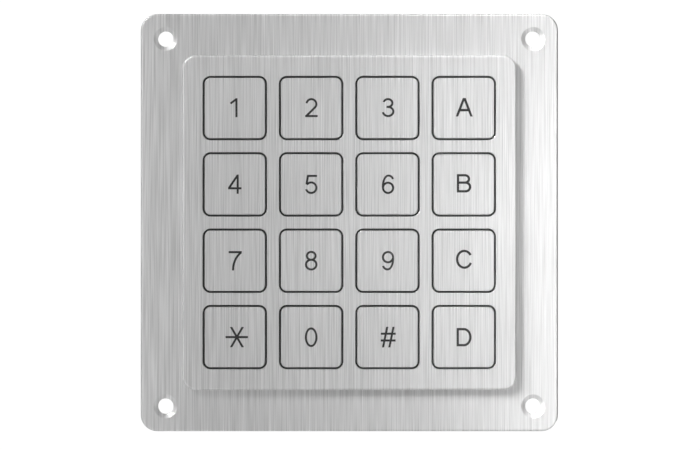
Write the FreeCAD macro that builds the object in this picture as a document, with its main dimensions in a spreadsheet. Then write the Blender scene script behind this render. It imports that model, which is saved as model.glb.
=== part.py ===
"""Flush-key steel keypad for panel mounting, as a parametric FreeCAD document.

Frame: millimetres, X to the right and Z up as a user faces the keypad, so the front faces -Y.
The origin is the centre of the flange's rear face, which is the plane of the mounting holes.
"Level" is the height in front of that plane, so a point at level L has y = -L.

Stack from the front: front plate with sixteen windows, sealing sheet with a lip in each window,
sixteen flanged steel key caps, silicone dome mat, circuit board, moulded rear cover. Eight screws
pass through the cover and past the board's and mat's edge notches into the plate's blind holes.
"""
import FreeCAD, Part
import math
import os
import re

import Sketcher
from FreeCAD import Placement, Rotation, Vector

# alias, millimetres (or a count, or degrees), meaning
DIMENSIONS = [
    ("plate_size", 100.0, "front plate, side of the square flange"),
    ("plate_radius", 4.0, "flange corner radius"),
    ("flange_thick", 2.0, "flange thickness"),
    ("platform_size", 80.0, "raised platform, side"),
    ("platform_radius", 3.3, "platform corner radius"),
    ("platform_rise", 2.0, "platform's step above the flange"),
    ("edge_round", 0.5, "rounding of the plate's front edges"),
    ("edge_break", 0.06, "broken edge round windows and caps"),
    ("mount_spacing", 88.0, "mounting holes, centre to centre"),
    ("mount_hole", 3.7, "mounting hole diameter, a close fit for M3.5 screws"),
    ("mount_rim", 1.0, "dished rim round the mounting holes, width on the face"),
    ("mount_dish", 0.5, "depth of that rim at the hole"),
    ("key_pitch", 18.25, "key centre to key centre"),
    ("key_rows", 4, "rows, and columns, of keys"),
    ("window_size", 15.4, "key window, side"),
    ("window_radius", 1.9, "key window corner radius"),
    ("cap_size", 14.4, "key cap face, side"),
    ("cap_radius", 1.4, "key cap corner radius"),
    ("cap_flange", 16.5, "retaining flange of a key cap, side"),
    ("cap_flange_radius", 2.6, "retaining flange corner radius"),
    ("cap_flange_thick", 0.8, "retaining flange thickness"),
    ("key_travel", 0.5, "travel of a key"),
    ("fit_gap", 0.02, "gap between faces that only touch"),
    ("overshoot", 0.5, "run of a cut past the face where it starts, or of a boss into its wall"),
    ("pocket_size", 72.0, "pocket behind the platform, side"),
    ("pocket_radius", 3.0, "pocket corner radius"),
    ("seal_size", 71.6, "sealing sheet, side"),
    ("seal_thick", 0.5, "sealing sheet thickness"),
    ("lip_outer", 15.3, "sealing lip, outer side"),
    ("lip_inner", 14.6, "sealing lip, inner side"),
    ("lip_drop", 0.22, "sealing lip's edge below the platform face"),
    ("mat_size", 79.2, "dome mat, side"),
    ("mat_radius", 6.6, "dome mat and board corner radius"),
    ("mat_thick", 1.0, "dome mat's sheet"),
    ("mat_rim", 1.0, "height of the dome mat's rim"),
    ("mat_rim_inner", 73.6, "inner side of the dome mat's rim"),
    ("dome_foot", 5.6, "dome radius at the sheet"),
    ("dome_shoulder", 3.5, "dome radius where the skirt meets the plunger"),
    ("dome_plunger", 3.2, "plunger radius"),
    ("dome_rise", 1.05, "height of the dome's flexing skirt"),
    ("skirt_thick", 0.42, "thickness of that skirt"),
    ("pill_radius", 2.2, "contact pill radius"),
    ("pill_thick", 0.4, "contact pill thickness"),
    ("pill_clear", 0.4, "free ring round the pill on the plunger"),
    ("board_size", 79.2, "circuit board, side"),
    ("board_thick", 1.6, "circuit board thickness"),
    ("copper_thick", 0.05, "contact pads on the board, thickness"),
    ("comb_finger", 0.45, "contact pads, width of a finger"),
    ("comb_step", 0.8, "contact pads, finger to finger"),
    ("comb_gap", 0.75, "contact pads, finger tip to the other comb's centre line"),
    ("cover_size", 84.0, "rear cover, side"),
    ("cover_radius", 9.0, "rear cover corner radius"),
    ("cover_depth", 12.0, "rear cover, depth behind the flange"),
    ("cover_wall", 2.0, "rear cover wall"),
    ("cover_floor", 1.8, "rear cover floor"),
    ("cover_round", 0.8, "rounding of the cover's rear edge"),
    ("gasket_size", 98.0, "panel gasket, outer side"),
    ("gasket_opening", 85.2, "panel gasket, opening side"),
    ("gasket_thick", 1.5, "panel gasket thickness"),
    ("gasket_hole", 5.0, "gasket hole diameter at a mounting screw"),
    ("screw_line", 38.0, "cover screws, distance from the centre lines"),
    ("screw_offset", 22.0, "cover screws, distance along each side"),
    ("screw_shank", 2.46, "cover screw shank diameter"),
    ("screw_bore", 2.5, "blind hole in the plate for a cover screw"),
    ("screw_depth", 3.0, "depth of that hole"),
    ("screw_reach", 2.6, "cover screw, reach into the plate"),
    ("screw_pass", 2.8, "hole for the screw through the cover"),
    ("screw_head", 4.5, "cover screw head diameter"),
    ("screw_head_thick", 1.6, "cover screw head height"),
    ("screw_key", 2.0, "hexagon socket across flats"),
    ("screw_key_deep", 1.1, "hexagon socket depth"),
    ("counterbore", 5.2, "counterbore diameter"),
    ("counterbore_deep", 2.6, "counterbore depth"),
    ("post_radius", 3.1, "radius of the cover's screw posts"),
    ("notch_radius", 1.7, "edge notches of the mat and the board"),
    ("rib_thick", 1.2, "cover ribs behind the board"),
    ("rib_line", 16.0, "cover ribs, distance from the centre line"),
    ("rib_gap", 0.1, "gap between the ribs and the board"),
    ("label_wide", 46.0, "label recess in the cover, width"),
    ("label_high", 22.0, "label recess, height"),
    ("label_deep", 0.4, "label recess, depth"),
    ("outlet_wide", 27.0, "connector opening, width"),
    ("outlet_high", 11.0, "connector opening, height"),
    ("outlet_radius", 1.5, "connector opening, corner radius"),
    ("header_pins", 8, "pins of the connector"),
    ("header_pitch", 2.5, "pin pitch"),
    ("header_wide", 22.4, "connector shroud, width"),
    ("header_high", 5.8, "connector shroud, height"),
    ("header_deep", 5.8, "connector shroud, depth"),
    ("header_wall", 0.8, "connector shroud wall"),
    ("header_floor", 1.8, "connector shroud floor"),
    ("pin_side", 0.64, "square pin, side"),
    ("pin_short", 1.0, "pin tip inside the shroud's mouth"),
    ("foot_long", 2.5, "pin foot soldered to the board, length"),
    ("foot_thick", 0.4, "pin foot, thickness"),
    ("slot_wide", 1.6, "keying slot of the shroud, width"),
    ("chip_wide", 12.8, "controller package, width"),
    ("chip_high", 7.5, "controller package, height"),
    ("chip_thick", 2.0, "controller package, thickness"),
    ("chip_lift", 0.2, "controller package, gap above the board"),
    ("lead_rows", 10, "leads on each side of the controller"),
    ("lead_pitch", 1.27, "lead pitch"),
    ("lead_wide", 0.42, "lead width"),
    ("lead_thick", 0.2, "lead thickness"),
    ("lead_reach", 1.0, "lead foot, centre beyond the package"),
    ("passive_wide", 1.25, "ceramic part, width"),
    ("passive_high", 2.0, "ceramic part, height"),
    ("passive_thick", 0.6, "ceramic part, thickness"),
    ("passive_step", 3.0, "ceramic part to the next across"),
    ("passive_drop", 4.5, "ceramic part to the next below"),
    ("passive_high_row", 14.0, "top row of ceramic parts above the centre"),
    ("passive_first", 8.0, "first ceramic part beside the controller"),
    ("legend_deep", 0.25, "engraving depth of a key legend"),
    ("legend_fill", 0.2, "thickness of the enamel in a legend"),
    ("digit_stroke", 0.52, "line width of digits and signs"),
    ("letter_stroke", 0.58, "line width of letters"),
    ("fill_inset", 0.01, "enamel edge inside the engraving's wall"),
]

KEY_LAYOUT = [
    ["1", "2", "3", "a"],
    ["4", "5", "6", "b"],
    ["7", "8", "9", "c"],
    ["star", "0", "hash", "d"],
]

# Legends, as strokes on each key's face in millimetres from its centre (right, up), between a
# lowest and a highest line at which the strokes end square. ("bar", from, to) is a straight
# stroke; ("arc", centre, half width, half height, start, end) is a stretch of an ellipse's
# stroke, counter-clockwise in degrees.
LEGENDS = {
    "1": (-2.2, 2.36, [("bar", (0.39, -2.4), (0.39, 2.4)), ("bar", (0.44, 2.17), (-1.04, 1.07))]),
    "2": (-2.17, 2.5, [
        ("arc", (0.06, 0.95), 1.18, 1.18, -43, 171),
        ("bar", (0.923, 0.145), (-1.22, -1.95)),
        ("bar", (-1.42, -1.91), (1.55, -1.91)),
    ]),
    "3": (-2.5, 2.5, [
        ("arc", (0.12, 1.2), 1.05, 0.93, -92, 167),
        ("arc", (0.14, -0.82), 1.24, 1.09, -173, 92),
        ("bar", (-0.25, 0.27), (0.2, 0.27)),
    ]),
    "4": (-2.26, 2.37, [
        ("bar", (0.69, -2.4), (0.69, 2.5)),
        ("bar", (-1.62, -0.93), (1.61, -0.93)),
        ("bar", (0.73, 2.27), (-1.4, -0.88)),
    ]),
    "5": (-2.5, 2.29, [
        ("bar", (-0.92, 2.03), (1.4, 2.03)),
        ("bar", (-0.71, 2.4), (-1.12, 0.0)),
        ("arc", (0, -0.79), 1.25, 1.25, -163, 146),
    ]),
    "6": (-2.5, 2.5, [
        ("arc", (0.13, -0.82), 1.21, 1.22, 0, 360),
        ("arc", (0.21, -0.5), 1.31, 2.6, 88, 190),
        ("arc", (0.21, 0.98), 1.12, 1.12, 14, 92),
    ]),
    "7": (-2.33, 2.32, [
        ("bar", (-1.47, 2.06), (1.66, 2.06)),
        ("arc", (3.77, -2.3), 4.2, 5.1, 117, 183),
    ]),
    "8": (-2.5, 2.5, [
        ("arc", (0.01, 1.17), 1.03, 0.94, 0, 360),
        ("arc", (0.01, -0.92), 1.25, 1.16, 0, 360),
    ]),
    "9": (-2.5, 2.5, [
        ("arc", (0.11, 0.86), 1.21, 1.22, 0, 360),
        ("arc", (0.03, 0.5), 1.31, 2.57, 268, 370),
        ("arc", (0.03, -0.95), 1.12, 1.12, 194, 272),
    ]),
    "0": (-2.5, 2.5, [("arc", (0, -0.03), 1.26, 2.09, 0, 360)]),
    "star": (-2.44, 2.44, [
        ("bar", (-2.22, 0), (3.16, 0)),
        ("bar", (-0.94, -2.5), (1.94, 2.5)),
        ("bar", (-0.94, 2.5), (1.94, -2.5)),
    ]),
    "hash": (-2.47, 2.47, [
        ("bar", (-1.1, -2.6), (-0.04, 2.6)),
        ("bar", (0.41, -2.6), (1.47, 2.6)),
        ("bar", (-1.6, 0.81), (1.96, 0.81)),
        ("bar", (-1.63, -0.81), (1.93, -0.81)),
    ]),
    "a": (-2.04, 2.42, [
        ("bar", (-1.72, -2.2), (0.05, 2.4)),
        ("bar", (1.9, -2.2), (0.13, 2.4)),
        ("bar", (-1.05, -0.49), (1.25, -0.49)),
    ]),
    "b": (-1.95, 2.47, [
        ("bar", (-1.4, -1.95), (-1.4, 2.47)),
        ("bar", (-1.4, 2.18), (0.3, 2.18)),
        ("bar", (-1.4, 0.42), (0.45, 0.42)),
        ("bar", (-1.4, -1.66), (0.45, -1.66)),
        ("arc", (0.25, 1.3), 0.97, 0.88, -92, 92),
        ("arc", (0.4, -0.62), 1.09, 1.04, -92, 92),
    ]),
    "c": (-2.5, 2.8, [("arc", (0.11, 0.35), 1.72, 2.0, 34, 331)]),
    "d": (-2.22, 2.19, [
        ("bar", (-1.46, -2.22), (-1.46, 2.19)),
        ("bar", (-1.46, 1.9), (0.05, 1.9)),
        ("bar", (-1.46, -1.93), (0.05, -1.93)),
        ("arc", (0.0, -0.015), 1.56, 1.915, -92, 92),
    ]),
}
LETTERS = ("a", "b", "c", "d")
LEGEND_FIELD = 8.0  # width that no legend fills
FRONT_NORMAL = Vector(0, -1, 0)

doc = FreeCAD.newDocument("keypad")
sheet = doc.addObject("Spreadsheet::Sheet", "dims")
for line, (alias, number, meaning) in enumerate(DIMENSIONS, start=1):
    sheet.set(f"A{line}", alias)
    sheet.set(f"B{line}", str(number))
    sheet.setAlias(f"B{line}", alias)
    sheet.set(f"C{line}", meaning)
doc.recompute()
SIZES = {alias: float(number) for alias, number, meaning in DIMENSIONS}
parts = []


def size(alias):
    """A driving dimension, read from the sheet."""
    return float(sheet.get(alias))


def bound(text):
    """Text such as "plate_size / 2" as an expression on the sheet's cells."""
    return re.sub("[a-z_]+", lambda m: f"dims.{m[0]}" if m[0] in SIZES else m[0], text)


def number(text):
    """The present value of an expression on the sheet's cells."""
    return float(sheet.evalExpression(bound(text)))


# ---------------------------------------------------------------- levels and lines
PLATFORM = "flange_thick + platform_rise"
SEAL_BACK = "flange_thick - seal_thick"
CAP_SHOULDER = f"{SEAL_BACK} - fit_gap"
CAP_BACK = f"{CAP_SHOULDER} - cap_flange_thick"
MAT_BACK = "0 - mat_thick - mat_rim"
BOARD_BACK = f"{MAT_BACK} - board_thick"
COVER_BACK = "0 - cover_depth"
FLOOR_INSIDE = f"{COVER_BACK} + cover_floor"
SCREW_SEAT = f"{COVER_BACK} + counterbore_deep"
PILL_BACK = f"{MAT_BACK} + copper_thick + fit_gap + key_travel"
PILL_FRONT = f"{PILL_BACK} + pill_thick"
DOME_TOP = f"{CAP_BACK} - fit_gap"
HEADER_LINE = "0 - key_pitch"


# ---------------------------------------------------------------- sketches and features
def plane_of(body, role):
    return next(f for f in body.Origin.OriginFeatures if f.Role == role)


def front_sketch(body, name, level):
    """A sketch that faces forward at a level: its axes are X and Z."""
    sketch = body.newObject("Sketcher::SketchObject", name)
    sketch.AttachmentSupport = [(plane_of(body, "XZ_Plane"), "")]
    sketch.MapMode = "FlatFace"
    sketch.setExpression("AttachmentOffset.Base.z", bound(level))
    return sketch


def constrain(sketch, name, text, *rule):
    """A named dimension bound to the sheet. rule is the constraint's kind and geometry."""
    sketch.addConstraint(Sketcher.Constraint(*rule, number(text)))
    index = sketch.ConstraintCount - 1
    sketch.renameConstraint(index, name)
    sketch.setExpression(f"Constraints.{name}", bound(text))


def rounded_box(sketch, width, height, radius, x="0", z="0"):
    """A closed rectangle with rounded corners, fully dimensioned, centred at x, z."""
    tag = f"n{sketch.GeometryCount}"
    half_w, half_h, r = number(width) / 2, number(height) / 2, number(radius)
    cx, cz = number(x), number(z)
    corners = [(1, -1, -90), (1, 1, 0), (-1, 1, 90), (-1, -1, 180)]
    centres = [
        Vector(cx + sx * (half_w - r), cz + sz * (half_h - r), 0) for sx, sz, start in corners
    ]
    arcs = []
    for centre, (sx, sz, start) in zip(centres, corners):
        circle = Part.Circle(centre, Vector(0, 0, 1), r)
        arcs.append(Part.ArcOfCircle(circle, math.radians(start), math.radians(start + 90)))
    ends = [(a.StartPoint, a.EndPoint) for a in arcs]
    arc_ids = [sketch.addGeometry(a) for a in arcs]
    line_ids = [
        sketch.addGeometry(Part.LineSegment(ends[i][1], ends[(i + 1) % 4][0])) for i in range(4)
    ]
    for i in range(4):
        sketch.addConstraint(Sketcher.Constraint("Tangent", arc_ids[i], 2, line_ids[i], 1))
        following = arc_ids[(i + 1) % 4]
        sketch.addConstraint(Sketcher.Constraint("Tangent", line_ids[i], 2, following, 1))
    right, top, left, bottom = line_ids
    for line_id, rule in ((right, "Vertical"), (top, "Horizontal"), (left, "Vertical")):
        sketch.addConstraint(Sketcher.Constraint(rule, line_id))
    sketch.addConstraint(Sketcher.Constraint("Horizontal", bottom))
    for arc_id in arc_ids[1:]:
        sketch.addConstraint(Sketcher.Constraint("Equal", arc_ids[0], arc_id))
    constrain(sketch, f"{tag}radius", radius, "Radius", arc_ids[0])
    constrain(sketch, f"{tag}width", width, "DistanceX", left, 1, right, 1)
    constrain(sketch, f"{tag}height", height, "DistanceY", bottom, 1, top, 1)
    corner_x = f"({x}) - ({width}) / 2 + ({radius})"
    corner_z = f"({z}) - ({height}) / 2 + ({radius})"
    constrain(sketch, f"{tag}x", corner_x, "DistanceX", -1, 1, arc_ids[3], 3)
    constrain(sketch, f"{tag}z", corner_z, "DistanceY", -1, 1, arc_ids[3], 3)


def circle_at(sketch, radius, x, z):
    tag = f"n{sketch.GeometryCount}"
    centre = Vector(number(x), number(z), 0)
    found = sketch.addGeometry(Part.Circle(centre, Vector(0, 0, 1), number(radius)))
    constrain(sketch, f"{tag}radius", radius, "Radius", found)
    constrain(sketch, f"{tag}x", x, "DistanceX", -1, 1, found, 3)
    constrain(sketch, f"{tag}z", z, "DistanceY", -1, 1, found, 3)


def pad(body, sketch, length):
    """Grows the sketch forward."""
    feature = body.newObject("PartDesign::Pad", f"{sketch.Name}_pad")
    feature.Profile = sketch
    feature.setExpression("Length", bound(length))
    body.Tip = feature
    return feature


def pocket(body, sketch, length):
    """Cuts from the sketch backward, and checks that it removed something."""
    doc.recompute()
    before = body.Shape.Volume
    feature = body.newObject("PartDesign::Pocket", f"{sketch.Name}_pocket")
    feature.Profile = sketch
    feature.setExpression("Length", bound(length))
    body.Tip = feature
    doc.recompute()
    if body.Shape.Volume > before - 1e-6:
        raise RuntimeError(f"{feature.Name} cut nothing")
    return feature


def across(body, feature):
    """Repeats a feature of the left-hand column for the other columns of keys."""
    pattern = body.newObject("PartDesign::LinearPattern", f"{feature.Name}_columns")
    pattern.Originals = [feature]
    pattern.Direction = (plane_of(body, "X_Axis"), [""])
    pattern.setExpression("Length", bound("(key_rows - 1) * key_pitch"))
    pattern.setExpression("Occurrences", bound("key_rows"))
    body.Tip = pattern
    doc.recompute()
    return pattern


def round_four(body, feature):
    """Repeats a feature of the right-hand side for all four sides."""
    pattern = body.newObject("PartDesign::PolarPattern", f"{feature.Name}_sides")
    pattern.Originals = [feature]
    pattern.Axis = (plane_of(body, "Y_Axis"), [""])
    pattern.Angle = 360
    pattern.Occurrences = 4
    body.Tip = pattern
    doc.recompute()
    return pattern


def edges_where(shape, test):
    """Names of the edges whose every vertex and middle point pass the test."""
    found = []
    for index, edge in enumerate(shape.Edges, start=1):
        middle = edge.valueAt((edge.FirstParameter + edge.LastParameter) / 2)
        if all(test(p) for p in [middle, *(v.Point for v in edge.Vertexes)]):
            found.append(f"Edge{index}")
    return found


def dress(body, kind, name, text, test):
    """A fillet or chamfer on the edges that pass the test."""
    doc.recompute()
    base = body.Tip
    edges = edges_where(base.Shape, test)
    if not edges:
        raise RuntimeError(f"{name} found no edges")
    feature = body.newObject(f"PartDesign::{kind}", name)
    feature.Base = (base, edges)
    feature.setExpression("Radius" if kind == "Fillet" else "Size", bound(text))
    body.Tip = feature
    doc.recompute()
    return feature


def at_level(point, text):
    return abs(-point.y - number(text)) < 1e-4


def reach(point):
    """How far a point lies from the centre, across or up, whichever is more."""
    return max(abs(point.x), abs(point.z))


def off_corner_hole(point):
    """How far a point lies from the nearest mounting hole's axis."""
    half = number("mount_spacing / 2")
    return math.hypot(abs(point.x) - half, abs(point.z) - half)


def new_body(name):
    body = doc.addObject("PartDesign::Body", name)
    body.Label = name
    return body


def finish(obj, name):
    """Records a finished sub-part under the name of its file."""
    obj.Label = name
    parts.append(obj)


def line_of_key(index):
    """Centre of a row or column of keys, counted from the left or the top."""
    return f"({index} - (key_rows - 1) / 2) * key_pitch"


def window_column(sketch, side, radius):
    for row in range(int(size("key_rows"))):
        rounded_box(sketch, side, side, radius, line_of_key(0), f"0 - ({line_of_key(row)})")


def screw_circles(sketch, radius):
    """Two circles at the right-hand cover screws."""
    circle_at(sketch, radius, "screw_line", "screw_offset")
    circle_at(sketch, radius, "screw_line", "0 - screw_offset")


# ---------------------------------------------------------------- primitives
def box(name, wide, high, back, front, x="0", z="0"):
    """A Part::Box centred at x, z between two levels, every size bound to the sheet."""
    made = doc.addObject("Part::Box", name)
    made.setExpression("Length", bound(wide))
    made.setExpression("Width", bound(f"({front}) - ({back})"))
    made.setExpression("Height", bound(high))
    made.setExpression("Placement.Base.x", bound(f"({x}) - ({wide}) / 2"))
    made.setExpression("Placement.Base.y", bound(f"0 - ({front})"))
    made.setExpression("Placement.Base.z", bound(f"({z}) - ({high}) / 2"))
    return made


def round_bar(kind, name, back, front, x, z, **sizes):
    """A Part::Cylinder, Cone or Prism along the view axis between two levels."""
    made = doc.addObject(f"Part::{kind}", name)
    for key, text in sizes.items():
        made.setExpression(key, bound(text))
    made.setExpression("Height", bound(f"({front}) - ({back})"))
    made.Placement = Placement(Vector(0, 0, 0), Rotation(Vector(0, 0, 1), FRONT_NORMAL))
    move_to(made, x, z, back)
    return made


def move_to(made, x, z, level="0"):
    """Binds a shape's place to the sheet."""
    made.setExpression("Placement.Base.x", bound(x))
    made.setExpression("Placement.Base.y", bound(f"0 - ({level})"))
    made.setExpression("Placement.Base.z", bound(z))


def joined(kind, name, base, tool):
    """A Part::Fuse or Part::Cut of two objects."""
    made = doc.addObject(f"Part::{kind}", name)
    made.Base = base
    made.Tool = tool
    return made


def compound(name, members):
    made = doc.addObject("Part::Compound", name)
    made.Links = members
    return made


# ---------------------------------------------------------------- strokes and turned shapes
def face_point(x, z, level):
    return Vector(x, -level, z)


def slab(width, height, z, back, front):
    """A plain block centred on the vertical centre line, between two levels."""
    corner = face_point(-width / 2, z - height / 2, front)
    return Part.makeBox(width, front - back, height, corner)


def bar_face(start, end, width):
    """A straight stroke with square ends, flat at level 0."""
    a, b = face_point(*start, 0), face_point(*end, 0)
    along = (b - a).normalize()
    side = along.cross(FRONT_NORMAL) * (width / 2)
    return Part.Face(Part.makePolygon([a - side, b - side, b + side, a + side, a - side]))


def ellipse_face(centre, half_w, half_h):
    """A filled ellipse, flat at level 0. OCC needs the longer half axis first."""
    x, z = centre
    long_end = face_point(x + half_w, z, 0) if half_w >= half_h else face_point(x, z + half_h, 0)
    short_end = face_point(x, z + half_h, 0) if half_w >= half_h else face_point(x + half_w, z, 0)
    middle = face_point(x, z, 0)
    if abs(half_w - half_h) < 1e-9:
        return Part.Face(Part.Wire(Part.Circle(middle, FRONT_NORMAL, half_w).toShape()))
    return Part.Face(Part.Wire(Part.Ellipse(long_end, short_end, middle).toShape()))


def sector_face(centre, start, end):
    """A wide fan between two directions, to trim a ring into an arc."""
    x, z = centre
    reach, steps = 20.0, max(2, math.ceil((end - start) / 40))
    points = [face_point(x, z, 0)]
    for i in range(steps + 1):
        angle = math.radians(start + (end - start) * i / steps)
        points.append(face_point(x + reach * math.cos(angle), z + reach * math.sin(angle), 0))
    points.append(points[0])
    return Part.Face(Part.makePolygon(points))


def arc_face(centre, half_w, half_h, start, end, width):
    half = width / 2
    ring = ellipse_face(centre, half_w + half, half_h + half).cut(
        ellipse_face(centre, half_w - half, half_h - half)
    )
    return ring if end - start >= 360 else ring.common(sector_face(centre, start, end))


def stroke_faces(strokes, width):
    made = []
    for kind, *rest in strokes:
        made.append(bar_face(*rest, width) if kind == "bar" else arc_face(*rest, width))
    return made


def legend_solid(sign, trim, back, front):
    """A legend's strokes as one solid between two levels, each outline moved in by trim."""
    low, high, strokes = LEGENDS[sign]
    stroke = size("letter_stroke" if sign in LETTERS else "digit_stroke")
    solids = [f.extrude(FRONT_NORMAL) for f in stroke_faces(strokes, stroke - 2 * trim)]
    whole = solids[0].fuse(solids[1:]) if len(solids) > 1 else solids[0]
    whole.translate(Vector(0, -back, 0))
    middle, height = (low + high) / 2, high - low - 2 * trim
    return whole.common(slab(LEGEND_FIELD, height, middle, back, front)).removeSplitter()


def feature_of(shape, name):
    """A Part::Feature holding a finished shape."""
    obj = doc.addObject("Part::Feature", name)
    obj.Shape = shape
    return obj


# ---------------------------------------------------------------- sub-parts
def front_plate():
    """Flange and raised platform, with windows, mounting holes and blind bores at the rear."""
    body = new_body("front_plate")
    flange = front_sketch(body, "flange", "0")
    rounded_box(flange, "plate_size", "plate_size", "plate_radius")
    pad(body, flange, "flange_thick")
    platform = front_sketch(body, "platform", "flange_thick")
    rounded_box(platform, "platform_size", "platform_size", "platform_radius")
    pad(body, platform, "platform_rise")
    rear = front_sketch(body, "rear_recess", "flange_thick")
    rounded_box(rear, "pocket_size", "pocket_size", "pocket_radius")
    pocket(body, rear, "flange_thick")
    window = front_sketch(body, "windows", PLATFORM)
    window_column(window, "window_size", "window_radius")
    across(body, pocket(body, window, "platform_rise + overshoot"))
    mounting = front_sketch(body, "mounting_hole", "flange_thick")
    circle_at(mounting, "mount_hole / 2", "mount_spacing / 2", "mount_spacing / 2")
    round_four(body, pocket(body, mounting, "flange_thick + overshoot"))
    bores = front_sketch(body, "screw_bores", "screw_depth")
    screw_circles(bores, "screw_bore / 2")
    round_four(body, pocket(body, bores, "screw_depth"))
    inside = number("pocket_size / 2")
    outside = number("mount_spacing / 2 + mount_hole")
    near = number("mount_hole")
    edges = [
        ("Fillet", "flange_edge", "edge_round",
         lambda p: at_level(p, "flange_thick") and reach(p) > outside),
        ("Fillet", "platform_edge", "edge_round",
         lambda p: at_level(p, PLATFORM) and reach(p) > inside),
        ("Chamfer", "window_edge", "edge_break",
         lambda p: at_level(p, PLATFORM) and reach(p) < inside),
    ]
    for kind, name, text, test in edges:
        dress(body, kind, name, text, test)
    rim = dress(body, "Chamfer", "hole_edge", "mount_rim",
                lambda p: at_level(p, "flange_thick") and off_corner_hole(p) < near)
    rim.ChamferType = "Two distances"
    rim.setExpression("Size2", bound("mount_dish"))
    doc.recompute()
    finish(body, "front_plate")


def key_seal():
    """Silicone sheet behind the platform with a standing lip in each window's gap."""
    body = new_body("key_seal")
    web = front_sketch(body, "seal_sheet", SEAL_BACK)
    rounded_box(web, "seal_size", "seal_size", "pocket_radius - (pocket_size - seal_size) / 2")
    pad(body, web, "seal_thick")
    lips = front_sketch(body, "seal_lips", "flange_thick")
    window_column(lips, "lip_outer", "cap_radius + (lip_outer - cap_size) / 2")
    across(body, pad(body, lips, "platform_rise - lip_drop"))
    openings = front_sketch(body, "seal_openings", PLATFORM)
    window_column(openings, "lip_inner", "cap_radius + (lip_inner - cap_size) / 2")
    across(body, pocket(body, openings, "platform_rise + seal_thick + overshoot"))
    finish(body, "key_seal")


def key_cap(sign, x, z):
    """A flush steel cap with a retaining flange behind the window, and its legend engraved."""
    blank = new_body(f"key_{sign}_blank")
    flange = front_sketch(blank, f"cap_flange_{sign}", CAP_BACK)
    rounded_box(flange, "cap_flange", "cap_flange", "cap_flange_radius")
    pad(blank, flange, "cap_flange_thick")
    neck = front_sketch(blank, f"cap_neck_{sign}", CAP_SHOULDER)
    rounded_box(neck, "cap_size", "cap_size", "cap_radius")
    pad(blank, neck, f"{PLATFORM} - ({CAP_SHOULDER})")
    dress(blank, "Chamfer", f"cap_edge_{sign}", "edge_break", lambda p: at_level(p, PLATFORM))
    front = number(PLATFORM)
    floor = front - size("legend_deep")
    engraving = feature_of(legend_solid(sign, 0, floor, front + size("overshoot")), f"engraving_{sign}")
    cap = joined("Cut", f"cap_{sign}", blank, engraving)
    move_to(cap, x, z)
    finish(cap, f"key_{sign}_cap")
    fill = legend_solid(sign, size("fill_inset"), floor, floor + size("legend_fill"))
    legend = feature_of(fill, f"legend_{sign}")
    move_to(legend, x, z)
    finish(legend, f"key_{sign}_legend")


def contact_pill(sign, x, z):
    """Conductive disc under a dome's plunger, which closes the contact on the board."""
    pill = round_bar("Cylinder", f"pill_{sign}", PILL_BACK, PILL_FRONT, x, z, Radius="pill_radius")
    finish(pill, f"key_{sign}_contact")


def all_keys():
    for row, signs in enumerate(KEY_LAYOUT):
        for column, sign in enumerate(signs):
            x, z = line_of_key(column), f"0 - ({line_of_key(row)})"
            key_cap(sign, x, z)
            contact_pill(sign, x, z)


def edge_notches(body, name, front, length):
    """Notches past which the cover screws run."""
    notches = front_sketch(body, name, front)
    screw_circles(notches, "notch_radius")
    return round_four(body, pocket(body, notches, length))


def turned(points):
    """A solid of revolution about the view axis from (radius, level) corners."""
    outline = Part.makePolygon([Vector(r, -level, 0) for r, level in [*points, points[0]]])
    return Part.Face(outline).revolve(Vector(0, 0, 0), Vector(0, 1, 0), 360)


def dome_shapes():
    """A dome's outer solid and the hollow inside it, which is open towards the board."""
    foot, shoulder, plunger = size("dome_foot"), size("dome_shoulder"), size("dome_plunger")
    back, sheet_front, top = number(MAT_BACK), -size("mat_rim"), number(DOME_TOP)
    bend = sheet_front + size("dome_rise")
    outer = turned([
        (0, back), (foot, back), (foot, sheet_front), (shoulder, bend), (plunger, bend),
        (plunger, top), (0, top),
    ])
    slope = math.atan2(size("dome_rise"), foot - shoulder)
    across_skirt = size("skirt_thick") * math.sin(slope)
    down_skirt = size("skirt_thick") * math.cos(slope)
    seat = number(f"{PILL_FRONT} + fit_gap")
    hollow = turned([
        (0, back), (foot - across_skirt, back), (foot - across_skirt, sheet_front - down_skirt),
        (shoulder - across_skirt, bend - down_skirt), (number("pill_radius + pill_clear"), seat),
        (0, seat),
    ])
    return outer, hollow


def at_each_key(shape):
    """Copies of a shape, one behind each key."""
    copies = []
    for row in range(int(size("key_rows"))):
        for column in range(int(size("key_rows"))):
            placed = shape.copy()
            placed.translate(Vector(number(line_of_key(column)), 0, -number(line_of_key(row))))
            copies.append(placed)
    return copies


def dome_mat():
    """Silicone mat: a sheet with a rim, and a hollow dome with a plunger behind each key."""
    body = new_body("mat_sheet")
    web = front_sketch(body, "mat_web", MAT_BACK)
    rounded_box(web, "mat_size", "mat_size", "mat_radius")
    pad(body, web, "mat_thick")
    rim = front_sketch(body, "mat_rim_ring", "0 - mat_rim")
    rounded_box(rim, "mat_size", "mat_size", "mat_radius")
    rounded_box(rim, "mat_rim_inner", "mat_rim_inner", "pocket_radius")
    pad(body, rim, "mat_rim")
    edge_notches(body, "mat_notches", "0", "mat_rim + mat_thick")
    outer, hollow = dome_shapes()
    with_domes = body.Shape.fuse(at_each_key(outer)).cut(at_each_key(hollow))
    finish(feature_of(with_domes.removeSplitter(), "sheet_with_domes"), "dome_mat")


def circuit_board():
    body = new_body("circuit_board")
    board = front_sketch(body, "board_outline", BOARD_BACK)
    rounded_box(board, "board_size", "board_size", "mat_radius")
    pad(body, board, "board_thick")
    edge_notches(body, "board_notches", MAT_BACK, "board_thick")
    finish(body, "circuit_board")


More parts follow.
